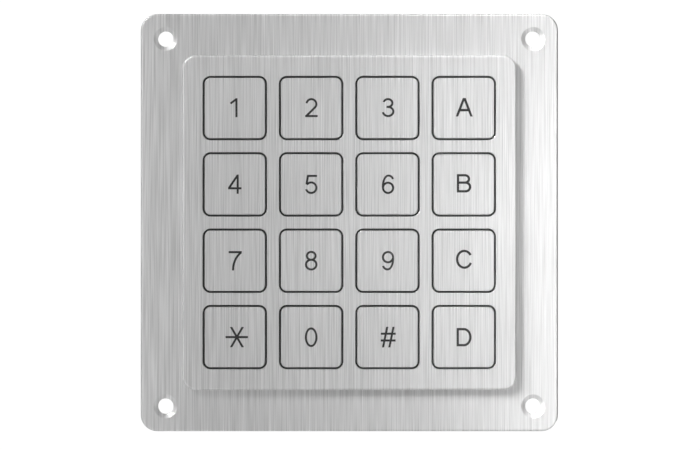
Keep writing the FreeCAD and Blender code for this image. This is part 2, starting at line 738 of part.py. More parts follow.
def contact_pads():
    """Two interleaved gold combs under each pill: a curved spine each side, fingers between."""
    radius, step = size("pill_radius"), size("comb_step")
    strokes = [
        ("arc", (0, 0), radius, radius, 105, 255),
        ("arc", (0, 0), radius, radius, -75, 75),
    ]
    for index in range(-2, 3):
        spine = math.sqrt(radius**2 - (index * step) ** 2)
        side = 1 if index % 2 else -1
        tip = -side * (spine - size("comb_gap"))
        strokes.append(("bar", (side * spine, index * step), (tip, index * step)))
    flat = stroke_faces(strokes, size("comb_finger"))
    solids = [f.extrude(FRONT_NORMAL * size("copper_thick")) for f in flat]
    pair = solids[0].fuse(solids[1:]).removeSplitter()
    pair.translate(Vector(0, -number(MAT_BACK), 0))
    finish(feature_of(Part.makeCompound(at_each_key(pair)), "pads"), "contact_pads")


def rear_cover():
    """Moulded tray with screw posts, two ribs behind the board and the connector opening."""
    body = new_body("rear_cover")
    block = front_sketch(body, "cover_outline", COVER_BACK)
    rounded_box(block, "cover_size", "cover_size", "cover_radius")
    pad(body, block, "cover_depth")
    dress(body, "Fillet", "cover_edge", "cover_round", lambda p: at_level(p, COVER_BACK))
    inside = front_sketch(body, "cover_inside", "0")
    inner = "cover_size - 2 * cover_wall"
    rounded_box(inside, inner, inner, "cover_radius - cover_wall")
    pocket(body, inside, "cover_depth - cover_floor")
    root = f"{FLOOR_INSIDE} - overshoot"
    posts = front_sketch(body, "cover_posts", root)
    screw_circles(posts, "post_radius")
    round_four(body, pad(body, posts, f"{BOARD_BACK} - ({root})"))
    ribs = front_sketch(body, "cover_ribs", root)
    for side in ("rib_line", "0 - rib_line"):
        rounded_box(ribs, "rib_thick", f"{inner} + overshoot", "rib_thick / 4", side, "0")
    pad(body, ribs, f"{BOARD_BACK} - ({root}) - rib_gap")
    passages = front_sketch(body, "cover_passages", BOARD_BACK)
    screw_circles(passages, "screw_pass / 2")
    round_four(body, pocket(body, passages, "cover_depth"))
    bores = front_sketch(body, "cover_counterbores", SCREW_SEAT)
    screw_circles(bores, "counterbore / 2")
    round_four(body, pocket(body, bores, "counterbore_deep + overshoot"))
    outlet = front_sketch(body, "cover_outlet", f"{FLOOR_INSIDE} + overshoot")
    rounded_box(outlet, "outlet_wide", "outlet_high", "outlet_radius", "0", HEADER_LINE)
    pocket(body, outlet, "cover_floor + 2 * overshoot")
    recess = front_sketch(body, "cover_label_recess", f"{COVER_BACK} + label_deep")
    rounded_box(recess, "label_wide", "label_high", "outlet_radius", "0", "key_pitch / 2")
    pocket(body, recess, "label_deep + overshoot")
    half_wide, half_high = number("outlet_wide / 2"), number("outlet_high / 2")
    middle, slack = number(HEADER_LINE), size("fit_gap")

    def outlet_edge(p):
        inside_outlet = abs(p.x) < half_wide + slack and abs(p.z - middle) < half_high + slack
        return at_level(p, COVER_BACK) and inside_outlet

    dress(body, "Chamfer", "outlet_edge", "cover_round", outlet_edge)
    finish(body, "rear_cover")


def panel_gasket():
    """Foam ring that seals the flange against the host panel."""
    body = new_body("panel_gasket")
    ring = front_sketch(body, "gasket_ring", "0 - gasket_thick")
    inset = "(plate_size - gasket_size) / 2"
    rounded_box(ring, "gasket_size", "gasket_size", f"plate_radius - {inset}")
    clearance = "(gasket_opening - cover_size) / 2"
    rounded_box(ring, "gasket_opening", "gasket_opening", f"cover_radius + {clearance}")
    pad(body, ring, "gasket_thick")
    hole = front_sketch(body, "gasket_hole_cut", "0")
    circle_at(hole, "gasket_hole / 2", "mount_spacing / 2", "mount_spacing / 2")
    round_four(body, pocket(body, hole, "gasket_thick"))
    finish(body, "panel_gasket")


def cover_screw(tag, x, z):
    """A socket-head screw with a broken head edge, its thread left plain."""
    back = f"{SCREW_SEAT} - screw_head_thick"
    rim = f"{back} + edge_round / 2"
    bevel = round_bar(
        "Cone", f"bevel_{tag}", back, rim, x, z,
        Radius1="(screw_head - edge_round) / 2", Radius2="screw_head / 2",
    )
    head = round_bar("Cylinder", f"head_{tag}", rim, SCREW_SEAT, x, z, Radius="screw_head / 2")
    shank = round_bar(
        "Cylinder", f"shank_{tag}", SCREW_SEAT, "screw_reach", x, z, Radius="screw_shank / 2"
    )
    whole = joined("Fuse", f"whole_{tag}", joined("Fuse", f"top_{tag}", bevel, head), shank)
    socket = round_bar(
        "Prism", f"socket_{tag}", f"{back} - overshoot", f"{back} + screw_key_deep", x, z,
        Circumradius="screw_key / sqrt(3)",
    )
    return joined("Cut", f"screw_{tag}", whole, socket)


def cover_screws():
    """Eight screws, two along each side of the cover."""
    screws = []
    for out in ("screw_line", "0 - screw_line"):
        for along in ("screw_offset", "0 - screw_offset"):
            screws.append(cover_screw(len(screws), out, along))
            screws.append(cover_screw(len(screws), along, out))
    finish(compound("screw_group", screws), "cover_screws")


def header():
    """Shrouded connector on the board's rear, with its pins and their soldered feet."""
    mouth = f"{BOARD_BACK} - header_deep"
    pins = []
    for index in range(int(size("header_pins"))):
        x = f"({index} - (header_pins - 1) / 2) * header_pitch"
        tip = f"{mouth} + pin_short"
        post = box(f"post_{index}", "pin_side", "pin_side", tip, BOARD_BACK, x, HEADER_LINE)
        foot = box(
            f"foot_{index}", "pin_side", "foot_long", f"{BOARD_BACK} - foot_thick", BOARD_BACK,
            x, f"{HEADER_LINE} + foot_long / 2",
        )
        pins.append(joined("Fuse", f"pin_{index}", post, foot))
    all_pins = compound("pin_group", pins)
    body = new_body("shroud")
    outline = front_sketch(body, "shroud_outline", mouth)
    rounded_box(outline, "header_wide", "header_high", "header_wall / 2", "0", HEADER_LINE)
    pad(body, outline, "header_deep")
    inside = front_sketch(body, "shroud_inside", f"{BOARD_BACK} - header_floor")
    cavity = ("header_wide - 2 * header_wall", "header_high - 2 * header_wall")
    rounded_box(inside, *cavity, "header_wall / 4", "0", HEADER_LINE)
    pocket(body, inside, "header_deep")
    slots = front_sketch(body, "shroud_slots", f"{BOARD_BACK} - header_floor - header_wall")
    for side in ("header_wide / 4", "0 - header_wide / 4"):
        place = (side, f"{HEADER_LINE} - header_high / 2")
        rounded_box(slots, "slot_wide", "header_wall * 3", "header_wall / 4", *place)
    pocket(body, slots, "header_deep")
    finish(joined("Cut", "shroud_drilled", body, all_pins), "header_shroud")
    finish(all_pins, "header_pins")


def controller_chip():
    """Scanning controller: moulded package with a dimple that marks pin one, and its leads."""
    x0, z0 = "0 - chip_wide / 2", "key_pitch / 2 + 1"
    back = f"{BOARD_BACK} - chip_lift - chip_thick"
    package = box("package", "chip_wide", "chip_high", back, f"{BOARD_BACK} - chip_lift", x0, z0)
    mark = round_bar(
        "Cylinder", "pin_one_mark", f"{back} - overshoot", f"{back} + lead_thick",
        f"{x0} - chip_wide / 2 + lead_pitch", f"{z0} - chip_high / 2 + lead_pitch",
        Radius="lead_wide",
    )
    solids = [joined("Cut", "package_marked", package, mark)]
    shoulder = f"{BOARD_BACK} - chip_lift - chip_thick / 2"
    for index in range(int(size("lead_rows"))):
        x = f"{x0} + ({index} - (lead_rows - 1) / 2) * lead_pitch"
        for side, sign in (("top", "+"), ("low", "-")):
            tag = f"{side}_{index}"
            edge = f"{z0} {sign} chip_high / 2"
            arm = box(
                f"arm_{tag}", "lead_wide", "lead_reach - lead_thick", f"{shoulder} - lead_thick",
                shoulder, x, f"{edge} {sign} (lead_reach - lead_thick) / 2",
            )
            leg = box(
                f"leg_{tag}", "lead_wide", "lead_thick * 2", f"{shoulder} - lead_thick",
                BOARD_BACK, x, f"{edge} {sign} (lead_reach - lead_thick)",
            )
            toe = box(
                f"toe_{tag}", "lead_wide", "lead_reach * 0.8", f"{BOARD_BACK} - lead_thick",
                BOARD_BACK, x, f"{edge} {sign} lead_reach",
            )
            bent = joined("Fuse", f"bent_{tag}", arm, leg)
            solids.append(joined("Fuse", f"lead_{tag}", bent, toe))
    finish(compound("chip_group", solids), "controller_chip")


def surface_mount_parts():
    """Ceramic resistors and capacitors: a block beside the controller and a column apart."""
    places = [(f"passive_first + {column} * passive_step", row) for column in range(3) for row in range(2)]
    places += [("0 - 1.5 * key_pitch", row) for row in range(3)]
    chips = []
    for index, (x, row) in enumerate(places):
        z = f"passive_high_row - {row} * passive_drop"
        back = f"{BOARD_BACK} - passive_thick"
        chips.append(box(f"ceramic_{index}", "passive_wide", "passive_high", back, BOARD_BACK, x, z))
    finish(compound("ceramic_group", chips), "surface_mount_parts")


def check_and_write():
    """Stops on a failed object or a bad solid, then writes each sub-part's file."""
    doc.recompute()
    for obj in doc.Objects:
        if {"Invalid", "Error"} & set(obj.State):
            raise RuntimeError(f"{obj.Name} failed: {obj.State}")
    for obj in parts:
        shape = obj.Shape
        if shape.isNull() or not shape.isValid() or not shape.Solids:
            raise RuntimeError(f"{obj.Label} has no valid solid")
    os.makedirs("parts", exist_ok=True)
    for obj in parts:
        obj.Shape.exportStep(os.path.join("parts", f"{obj.Label}.step"))
    print(f"{len(parts)} sub-parts written")


front_plate()
key_seal()
all_keys()
dome_mat()
circuit_board()
contact_pads()
rear_cover()
panel_gasket()
cover_screws()
header()
controller_chip()
surface_mount_parts()
check_and_write()
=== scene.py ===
"""Looks of a sixteen-key flush steel keypad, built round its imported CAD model.

Metres, X to the right, Z up, the front face towards -Y. "Level" is the height in front of the
plane of the mounting holes, so a point at level L has y = -L. Sizes are the ones in part.py.
"""
import math

import bmesh
import bpy
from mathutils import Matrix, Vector


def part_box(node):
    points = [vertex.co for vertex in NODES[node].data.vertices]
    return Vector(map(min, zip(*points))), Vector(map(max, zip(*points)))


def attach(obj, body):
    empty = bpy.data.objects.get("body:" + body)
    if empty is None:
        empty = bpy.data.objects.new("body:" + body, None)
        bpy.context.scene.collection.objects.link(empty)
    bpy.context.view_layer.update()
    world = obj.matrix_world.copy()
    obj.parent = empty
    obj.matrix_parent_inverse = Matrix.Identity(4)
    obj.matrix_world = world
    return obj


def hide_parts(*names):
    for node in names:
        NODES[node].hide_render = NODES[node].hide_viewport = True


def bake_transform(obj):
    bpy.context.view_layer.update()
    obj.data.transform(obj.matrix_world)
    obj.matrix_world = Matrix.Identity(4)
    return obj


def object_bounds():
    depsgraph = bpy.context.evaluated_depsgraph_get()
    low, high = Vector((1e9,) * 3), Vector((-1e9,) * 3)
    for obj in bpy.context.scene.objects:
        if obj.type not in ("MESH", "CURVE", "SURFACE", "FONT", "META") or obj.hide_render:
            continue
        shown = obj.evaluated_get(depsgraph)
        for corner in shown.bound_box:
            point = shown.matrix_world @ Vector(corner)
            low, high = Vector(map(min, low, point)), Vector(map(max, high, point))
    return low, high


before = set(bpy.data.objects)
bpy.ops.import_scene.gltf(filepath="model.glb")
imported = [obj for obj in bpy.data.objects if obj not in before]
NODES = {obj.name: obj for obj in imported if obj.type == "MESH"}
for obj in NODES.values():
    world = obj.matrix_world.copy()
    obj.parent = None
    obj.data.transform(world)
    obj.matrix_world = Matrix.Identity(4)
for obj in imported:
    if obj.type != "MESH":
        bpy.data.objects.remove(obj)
cad_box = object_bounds()
scene = bpy.context.scene
MM = 0.001


# ---- Node helpers -------------------------------------------------------------------------

def new_material(name):
    """A material, its node tree and its Principled shader."""
    material = bpy.data.materials.new(name)
    material.use_nodes = True
    tree = material.node_tree
    return material, tree, tree.nodes["Principled BSDF"]


def plug(tree, value, socket):
    """Links a node's output to a socket, or sets the socket to a value."""
    if isinstance(value, bpy.types.NodeSocket):
        tree.links.new(value, socket)
    else:
        socket.default_value = value


def node(tree, kind, inputs=None, **settings):
    """A node with its settings, and its inputs set or linked by name or index."""
    made = tree.nodes.new(kind)
    for key, value in settings.items():
        setattr(made, key, value)
    for key, value in (inputs or {}).items():
        plug(tree, value, made.inputs[key])
    return made


def maths(tree, operation, a, b=0.0):
    return node(tree, "ShaderNodeMath", {0: a, 1: b}, operation=operation).outputs[0]


def vector_maths(tree, operation, a, b, output="Vector"):
    made = node(tree, "ShaderNodeVectorMath", {0: a, 1: b}, operation=operation)
    return made.outputs[output]


def place(tree):
    """Position in the row frame, in metres."""
    return node(tree, "ShaderNodeTexCoord").outputs["Object"]


def axes(tree, vector):
    return node(tree, "ShaderNodeSeparateXYZ", {0: vector}).outputs


def scaled(tree, source, scale):
    """Coordinates stretched by scale, in features per metre along X, Y and Z."""
    return node(tree, "ShaderNodeMapping", {"Vector": source, "Scale": scale}).outputs["Vector"]


def noise(tree, vector, scale=1.0, detail=3.0, rough=0.55):
    return node(
        tree, "ShaderNodeTexNoise",
        {"Vector": vector, "Scale": scale, "Detail": detail, "Roughness": rough},
    ).outputs["Fac"]


def spread(tree, value, low, high, from_low=0.3, from_high=0.7, smooth=False):
    """A value brought from one range to another. Noise lies mostly between 0.3 and 0.7."""
    return node(
        tree, "ShaderNodeMapRange",
        {"Value": value, "From Min": from_low, "From Max": from_high,
         "To Min": low, "To Max": high},
        interpolation_type="SMOOTHSTEP" if smooth else "LINEAR",
    ).outputs["Result"]


def weighted(tree, parts):
    """The sum of values times their weights."""
    total = 0.0
    for value, weight in parts:
        total = maths(tree, "ADD", maths(tree, "MULTIPLY", value, weight), total)
    return total


# A Mix node's sockets for colours, which share their names with those for numbers.
MIX_FACTOR, MIX_A, MIX_B, MIX_RESULT = 0, 6, 7, 2


def mixed(tree, factor, a, b):
    made = node(tree, "ShaderNodeMix", data_type="RGBA")
    for value, index in ((factor, MIX_FACTOR), (a, MIX_A), (b, MIX_B)):
        plug(tree, value, made.inputs[index])
    return made.outputs[MIX_RESULT]


def bump(tree, height, distance):
    return node(
        tree, "ShaderNodeBump", {"Height": height, "Strength": 1.0, "Distance": distance},
    ).outputs["Normal"]


def edge_wear_and_highlight(tree, radius, patchy=True):
    """1 along sharp edges and 0 on its faces: the mask for rubbing wear and, where a finish
    lightens it, for a painted edge highlight.
    """
    rounded = node(tree, "ShaderNodeBevel", {"Radius": radius}, samples=6).outputs["Normal"]
    normal = node(tree, "ShaderNodeNewGeometry").outputs["Normal"]
    edge = spread(tree, vector_maths(tree, "DOT_PRODUCT", rounded, normal, "Value"),
                  1.0, 0.0, 0.86, 0.99)
    if patchy:
        edge = maths(tree, "MULTIPLY", edge,
                     spread(tree, noise(tree, place(tree), 900.0), 0.2, 1.0))
    return edge


def colour(red, green=None, blue=None):
    return (red, red if green is None else green, red if blue is None else blue, 1.0)


# ---- Materials ----------------------------------------------------------------------------

# Brushed lines: features per metre across, through and along the plate.
FINE_LINES, MIDDLE_LINES = (4300, 500, 66), (2100, 320, 46)
BROAD_LINES, SINGLE_LINES = (300, 90, 6), (3100, 300, 15)


def brushed_steel():
    """Stainless steel brushed along Z. The lines run on from the plate over the keys."""
    material, tree, shader = new_material("brushed_steel")
    at = place(tree)
    fine = noise(tree, scaled(tree, at, FINE_LINES), detail=0.0)
    middle = noise(tree, scaled(tree, at, MIDDLE_LINES), detail=1.0)
    broad = noise(tree, scaled(tree, at, BROAD_LINES), detail=1.0)
    single = noise(tree, scaled(tree, at, SINGLE_LINES), detail=0.0)
    streak = weighted(tree, ((fine, 0.60), (middle, 0.33), (broad, 0.07)))
    bright = spread(tree, single, 0.0, 1.0, 0.66, 0.80, smooth=True)
    dark = spread(tree, single, 1.0, 0.0, 0.20, 0.34, smooth=True)
    tone = weighted(tree, ((spread(tree, streak, 0.0, 1.0, 0.34, 0.66), 0.74),
                           (bright, 0.26), (dark, -0.22)))
    steel = mixed(tree, tone, colour(0.66), colour(1.0))
    worn = edge_wear_and_highlight(tree, 0.15 * MM)
    plug(tree, mixed(tree, worn, steel, colour(0.80)), shader.inputs["Base Color"])
    handling = noise(tree, at, 38.0, detail=2.0)
    rough = weighted(tree, ((spread(tree, streak, 0.55, 0.45), 1.0),
                            (spread(tree, handling, -0.015, 0.015), 1.0), (worn, 0.05)))
    plug(tree, rough, shader.inputs["Roughness"])
    plug(tree, bump(tree, weighted(tree, ((fine, 0.6), (middle, 0.4))), 0.006 * MM),
         shader.inputs["Normal"])
    shader.inputs["Metallic"].default_value = 1.0
    return material


def moulded(name, dark, light, rough, grain, relief, wear_and_highlight_tone=None, wear_and_highlight_radius=0.12,
            specular=0.5, sheen=0.0, subsurface=0.0):
    """A moulded or cast part: clouded colour, a surface grain, and edges lighter from rubbing
    wear and from a painted edge highlight.
    """
    material, tree, shader = new_material(name)
    at = place(tree)
    cloud = noise(tree, at, 60.0, detail=4.0)
    texture = noise(tree, at, grain, detail=2.0)
    tint = weighted(tree, ((cloud, 0.55), (texture, 0.45)))
    base = mixed(tree, spread(tree, tint, 0.0, 1.0), colour(*dark), colour(*light))
    roughness = spread(tree, weighted(tree, ((texture, 0.6), (cloud, 0.4))), *rough)
    # Edges drawn towards a lighter tone: partly rubbing wear, partly a painted edge highlight.
    if wear_and_highlight_tone is not None:
        edge = edge_wear_and_highlight(tree, wear_and_highlight_radius * MM)
        base = mixed(tree, edge, base, colour(*wear_and_highlight_tone))
        roughness = weighted(tree, ((roughness, 1.0), (edge, -0.12)))
    plug(tree, base, shader.inputs["Base Color"])
    plug(tree, roughness, shader.inputs["Roughness"])
    plug(tree, bump(tree, texture, relief * MM), shader.inputs["Normal"])
    shader.inputs["Specular IOR Level"].default_value = specular
    shader.inputs["Sheen Weight"].default_value = sheen
    shader.inputs["Subsurface Weight"].default_value = subsurface
    return material


def moulding_with_metal(name, body, metal, mask):
    """Two surfaces in one node: a moulded body, and tinned metal where mask(tree) is 1."""
    material, tree, shader = new_material(name)
    at = place(tree)
    grain = noise(tree, at, 5200.0, detail=2.0)
    cloud = noise(tree, at, 420.0)
    where = mask(tree, axes(tree, at))
    dull = mixed(tree, spread(tree, cloud, 0.0, 1.0), colour(*body[0]), colour(*body[1]))
    tinned = mixed(tree, spread(tree, cloud, 0.0, 1.0), colour(*metal[0]), colour(*metal[1]))
    plug(tree, mixed(tree, where, dull, tinned), shader.inputs["Base Color"])
    plug(tree, where, shader.inputs["Metallic"])
    plug(tree, weighted(tree, ((spread(tree, grain, 0.52, 0.66), 1.0), (where, -0.26))),
         shader.inputs["Roughness"])
    plug(tree, bump(tree, grain, 0.01 * MM), shader.inputs["Normal"])
    return material


def metal(name, dark, light, rough, grain, relief, stretch=(1, 1, 1)):
    """A plated or drawn metal: mottled tone, and fine marks along the way it was drawn."""
    material, tree, shader = new_material(name)
    at = place(tree)
    marks = noise(tree, scaled(tree, at, tuple(grain * s for s in stretch)), detail=3.0)
    tarnish = noise(tree, at, 260.0, detail=4.0)
    tint = weighted(tree, ((marks, 0.5), (tarnish, 0.5)))
    base = mixed(tree, spread(tree, tint, 0.0, 1.0), colour(*dark), colour(*light))
    plug(tree, base, shader.inputs["Base Color"])
    plug(tree, spread(tree, marks, *rough), shader.inputs["Roughness"])
    plug(tree, bump(tree, marks, relief * MM), shader.inputs["Normal"])
    shader.inputs["Metallic"].default_value = 1.0
    return material


SCREW_LINE, SCREW_OFFSET = 38.0 * MM, 22.0 * MM   # cover screws, from the two centre lines


def turned_steel():
    """Screw steel with turning rings round each screw's own axis."""
    material, tree, shader = new_material("turned_steel")
    at = place(tree)
    x, _, z = axes(tree, at)
    across, up = maths(tree, "ABSOLUTE", x), maths(tree, "ABSOLUTE", z)

    def axis_distance(a, b):
        squares = [maths(tree, "POWER", maths(tree, "SUBTRACT", value, centre), 2.0)
                   for value, centre in ((across, a), (up, b))]
        return maths(tree, "SQRT", maths(tree, "ADD", *squares))

    distance = maths(tree, "MINIMUM", axis_distance(SCREW_LINE, SCREW_OFFSET),
                     axis_distance(SCREW_OFFSET, SCREW_LINE))
    rings = node(tree, "ShaderNodeTexNoise",
                 {"W": maths(tree, "MULTIPLY", distance, 9000.0), "Scale": 1.0, "Detail": 2.0},
                 noise_dimensions="1D").outputs["Fac"]
    cloud = noise(tree, at, 700.0)
    tint = weighted(tree, ((rings, 0.6), (cloud, 0.4)))
    base = mixed(tree, spread(tree, tint, 0.0, 1.0), colour(0.42, 0.42, 0.425),
                 colour(0.66, 0.66, 0.655))
    # Lighter edges on the screws: partly rubbing wear, partly a painted edge highlight.
    edge = edge_wear_and_highlight(tree, 0.1 * MM, patchy=False)
    plug(tree, mixed(tree, edge, base, colour(0.8)), shader.inputs["Base Color"])
    plug(tree, spread(tree, tint, 0.28, 0.42), shader.inputs["Roughness"])
    plug(tree, bump(tree, rings, 0.008 * MM), shader.inputs["Normal"])
    shader.inputs["Metallic"].default_value = 1.0
    return material


def board_laminate():
    """Green solder mask over copper tracks, with the bare glass laminate at the board's edge."""
    material, tree, shader = new_material("board_laminate")
    at = place(tree)
    x, y, z = axes(tree, at)
    cell = vector_maths(tree, "SNAP", at, (4.6 * MM, 1.0, 4.6 * MM))
    draw = node(tree, "ShaderNodeTexWhiteNoise", {"Vector": cell}).outputs["Value"]
    step = 0.9 * MM
    lines = []
    for axis in (x, z):
        off_line = maths(tree, "PINGPONG", axis, step / 2)
        lines.append(spread(tree, off_line, 1.0, 0.0, 0.13 * MM, 0.17 * MM))
    upright = maths(tree, "GREATER_THAN", draw, 0.5)
    used = maths(tree, "GREATER_THAN", maths(tree, "FRACT", maths(tree, "MULTIPLY", draw, 7.0)),
                 0.3)
    track = weighted(tree, (
        (maths(tree, "MULTIPLY", lines[0], upright), 1.0),
        (maths(tree, "MULTIPLY", lines[1], maths(tree, "SUBTRACT", 1.0, upright)), 1.0),
    ))
    track = maths(tree, "MULTIPLY", track, used)
    weave = noise(tree, scaled(tree, at, (2200, 400, 2200)), detail=1.0)
    mask = mixed(tree, track, colour(0.012, 0.075, 0.030), colour(0.022, 0.130, 0.052))
    low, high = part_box("circuit_board")
    middle, half = (low.y + high.y) / 2, (high.y - low.y) / 2 - 0.04 * MM
    side = maths(tree, "LESS_THAN",
                 maths(tree, "ABSOLUTE", maths(tree, "SUBTRACT", y, middle)), half)
    laminate = mixed(tree, weave, colour(0.30, 0.27, 0.14), colour(0.42, 0.38, 0.20))
    plug(tree, mixed(tree, side, mask, laminate), shader.inputs["Base Color"])
    plug(tree, weighted(tree, ((spread(tree, weave, 0.26, 0.38), 1.0), (side, 0.3))),
         shader.inputs["Roughness"])
    plug(tree, bump(tree, weighted(tree, ((track, 0.8), (weave, 0.2))), 0.03 * MM),
         shader.inputs["Normal"])
    return material


def closed_cell_foam():
    """Black gasket foam: its skin dimpled by the cells under it."""
    material, tree, shader = new_material("closed_cell_foam")
    at = place(tree)
    cells = node(tree, "ShaderNodeTexVoronoi", {"Vector": at, "Scale": 2300.0}).outputs
    dimple = spread(tree, cells["Distance"], 0.0, 1.0, 0.0, 0.8)
    cloud = noise(tree, at, 240.0, detail=4.0)
    tint = weighted(tree, ((dimple, 0.6), (cloud, 0.4)))
    plug(tree, mixed(tree, tint, colour(0.010), colour(0.036)), shader.inputs["Base Color"])
    plug(tree, spread(tree, cloud, 0.82, 0.95), shader.inputs["Roughness"])
    plug(tree, bump(tree, dimple, 0.09 * MM), shader.inputs["Normal"])
    shader.inputs["Sheen Weight"].default_value = 0.15
    return material


def chip_leads(tree, at):
    """1 on the leads of the controller, which stand out of its body above and below."""
    low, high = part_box("controller_chip")
    body_half = 3.76 * MM
    off_centre = maths(tree, "SUBTRACT", at[2], (low.z + high.z) / 2)
    return maths(tree, "GREATER_THAN", maths(tree, "ABSOLUTE", off_centre), body_half)


def ceramic_ends(tree, at):
    """1 on the tinned ends of the ceramic parts, which stand in rows 4.5 mm apart."""
    row_step, body_half = 4.5 * MM, 0.62 * MM
    low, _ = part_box("surface_mount_parts")
    first_row = low.z + 1.0 * MM
    off_row = maths(tree, "PINGPONG", maths(tree, "SUBTRACT", at[2], first_row), row_step / 2)
    return maths(tree, "GREATER_THAN", off_row, body_half)


# The lighter tones given for the edges of some finishes stand for rubbing wear and a painted
# edge highlight together.
FINISHES = {
    "stainless_plate": brushed_steel(),
    "black_silicone": moulded(
        "black_silicone", (0.014,) * 3, (0.026,) * 3, (0.50, 0.66), 3000.0, 0.012,
        sheen=0.08),
    "grey_silicone": moulded(
        "grey_silicone", (0.165, 0.170, 0.178), (0.215, 0.220, 0.226), (0.48, 0.64), 2400.0,
        0.015, wear_and_highlight_tone=(0.26, 0.265, 0.27), subsurface=0.08, sheen=0.1),
    "board_laminate": board_laminate(),
    "gold_plating": metal(
        "gold_plating", (0.72, 0.50, 0.22), (0.95, 0.72, 0.36), (0.22, 0.36), 900.0, 0.004),
    "chip_moulding": moulding_with_metal(
        "chip_moulding", ((0.016,) * 3, (0.030,) * 3), ((0.55,) * 3, (0.74,) * 3), chip_leads),
    "ceramic": moulding_with_metal(
        "ceramic", ((0.22, 0.15, 0.09), (0.33, 0.23, 0.14)), ((0.60,) * 3, (0.78,) * 3),
        ceramic_ends),
    "white_nylon": moulded(
        "white_nylon", (0.64, 0.62, 0.56), (0.74, 0.72, 0.66), (0.34, 0.48), 1800.0, 0.008,
        wear_and_highlight_tone=(0.80, 0.79, 0.75), subsurface=0.15),
    "tinned_brass": metal(
        "tinned_brass", (0.52, 0.51, 0.48), (0.80, 0.79, 0.76), (0.20, 0.38), 2600.0, 0.006,
        stretch=(1, 0.12, 1)),
    "black_abs": moulded(
        "black_abs", (0.015, 0.015, 0.016), (0.030, 0.030, 0.031), (0.46, 0.64), 2000.0, 0.05,
        wear_and_highlight_tone=(0.060, 0.060, 0.062), wear_and_highlight_radius=0.3),
    "screw_steel": turned_steel(),
    "foam_gasket": closed_cell_foam(),
    "legend_enamel": moulded(
        "legend_enamel", (0.012,) * 3, (0.024,) * 3, (0.26, 0.42), 4200.0, 0.01),
    "carbon_pill": moulded(
        "carbon_pill", (0.010,) * 3, (0.032,) * 3, (0.58, 0.78), 6000.0, 0.02,
        wear_and_highlight_tone=(0.05,) * 3, wear_and_highlight_radius=0.06),
}
FINISHES["stainless_key"] = FINISHES["stainless_plate"]

for made in NODES.values():
    made.data.materials[0] = FINISHES[made.data.materials[0].name]


# ---- Mesh helpers -------------------------------------------------------------------------

CORNER_STEPS = 8
CROWN_STEPS = 8
ROUND_STEPS = 64
SHARP_ANGLE = math.radians(35)


def at_level(outline, level):
    return [Vector((x, -level, z)) for x, z in outline]


def rounded_square(centre, side, radius, level):
    """A loop round a square with round corners."""
    straight = side / 2 - radius
    outline = []
    for corner_x, corner_z, start in ((1, 1, 0), (-1, 1, 90), (-1, -1, 180), (1, -1, 270)):
        for step in range(CORNER_STEPS + 1):
            angle = math.radians(start + 90 * step / CORNER_STEPS)
            outline.append((centre[0] + corner_x * straight + radius * math.cos(angle),
                            centre[1] + corner_z * straight + radius * math.sin(angle)))
    return at_level(outline, level)


def circle(centre, radius, level):
    turn = 2 * math.pi / ROUND_STEPS
    return at_level([(centre[0] + radius * math.cos(turn * step),
                      centre[1] + radius * math.sin(turn * step))
                     for step in range(ROUND_STEPS)], level)


def join_loops(mesh, rings):
    """Faces between each ring of corners and the next."""
    for ring, following in zip(rings, rings[1:]):
        for i in range(len(ring)):
            j = (i + 1) % len(ring)
            corners = dict.fromkeys((ring[i], ring[j], following[j], following[i]))
            mesh.faces.new(tuple(corners))


def pierced_sheet(paths):
    """A closed sheet. Each path is a list of loops, from the front face's to the rear face's:
    the first path is the sheet's edge, and the others are the walls of its holes."""
    mesh = bmesh.new()
    front, rear = [], []
    for path in paths:
        rings = [[mesh.verts.new(point) for point in loop] for loop in path]
        join_loops(mesh, rings)
        for ring, edges in ((rings[0], front), (rings[-1], rear)):
            edges += [mesh.edges.get((ring[i - 1], ring[i])) for i in range(len(ring))]
    for edges in (front, rear):
        bmesh.ops.triangle_fill(mesh, use_beauty=True, edges=edges)
    bmesh.ops.recalc_face_normals(mesh, faces=mesh.faces)
    return mesh


def revolved(mesh, centre, profile, closed):
    """Turns a profile of (radius, level) round an axis along Y, into a closed surface."""
    rings = []
    for radius, level in profile:
        if radius:
            rings.append([mesh.verts.new(point) for point in circle(centre, radius, level)])
        else:
            rings.append([mesh.verts.new((centre[0], -level, centre[1]))] * ROUND_STEPS)
    join_loops(mesh, rings + rings[:1] if closed else rings)
    bmesh.ops.recalc_face_normals(mesh, faces=mesh.faces)


def add(name, data):
    made = bpy.data.objects.new(name, data)
    scene.collection.objects.link(made)
    return made


def shade(data):
    """Smooth shading, with its sharp edges kept."""
    data.polygons.foreach_set("use_smooth", [True] * len(data.polygons))
    data.set_sharp_from_angle(angle=SHARP_ANGLE)


def piece(name, mesh, slot, replaced):
    """An object with the finish of a record slot, standing for a CAD node."""
    data = bpy.data.meshes.new(name)
    mesh.to_mesh(data)
    mesh.free()
    shade(data)
    data.materials.append(FINISHES[slot])
    made = add(name, data)
    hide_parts(replaced)
    return made


def carve(target, cutter):
    """Cuts the cutter's volume out of a piece."""
    tool = bpy.data.meshes.new("cutter")
    cutter.to_mesh(tool)
    cutter.free()
    holder = add("cutter", tool)
    modifier = target.modifiers.new("notches", "BOOLEAN")
    modifier.operation = "DIFFERENCE"
    modifier.solver = "EXACT"
    modifier.object = holder
    bpy.context.view_layer.update()
    evaluated = target.evaluated_get(bpy.context.evaluated_depsgraph_get())
    carved = bpy.data.meshes.new_from_object(evaluated)
    target.modifiers.clear()
    target.data = carved
    bpy.data.objects.remove(holder)
    bpy.data.meshes.remove(tool)
    shade(carved)


def crown(outer, inner, level, steps):
    """Side and level of a half-round edge between an outer and an inner wall, front first."""
    middle, radius = (outer + inner) / 2, (outer - inner) / 2
    return [(middle + radius * math.cos(math.pi * step / steps),
             level - radius / 2 * (1 - math.sin(math.pi * step / steps)))
            for step in range(steps + 1)]


# ---- Soft pieces --------------------------------------------------------------------------

CENTRE = (0.0, 0.0)
KEYS = {}
for name in NODES:
    if name.endswith("_cap"):
        low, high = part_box(name)
        KEYS[name[len("key_"):-len("_cap")]] = ((low.x + high.x) / 2, (low.z + high.z) / 2)

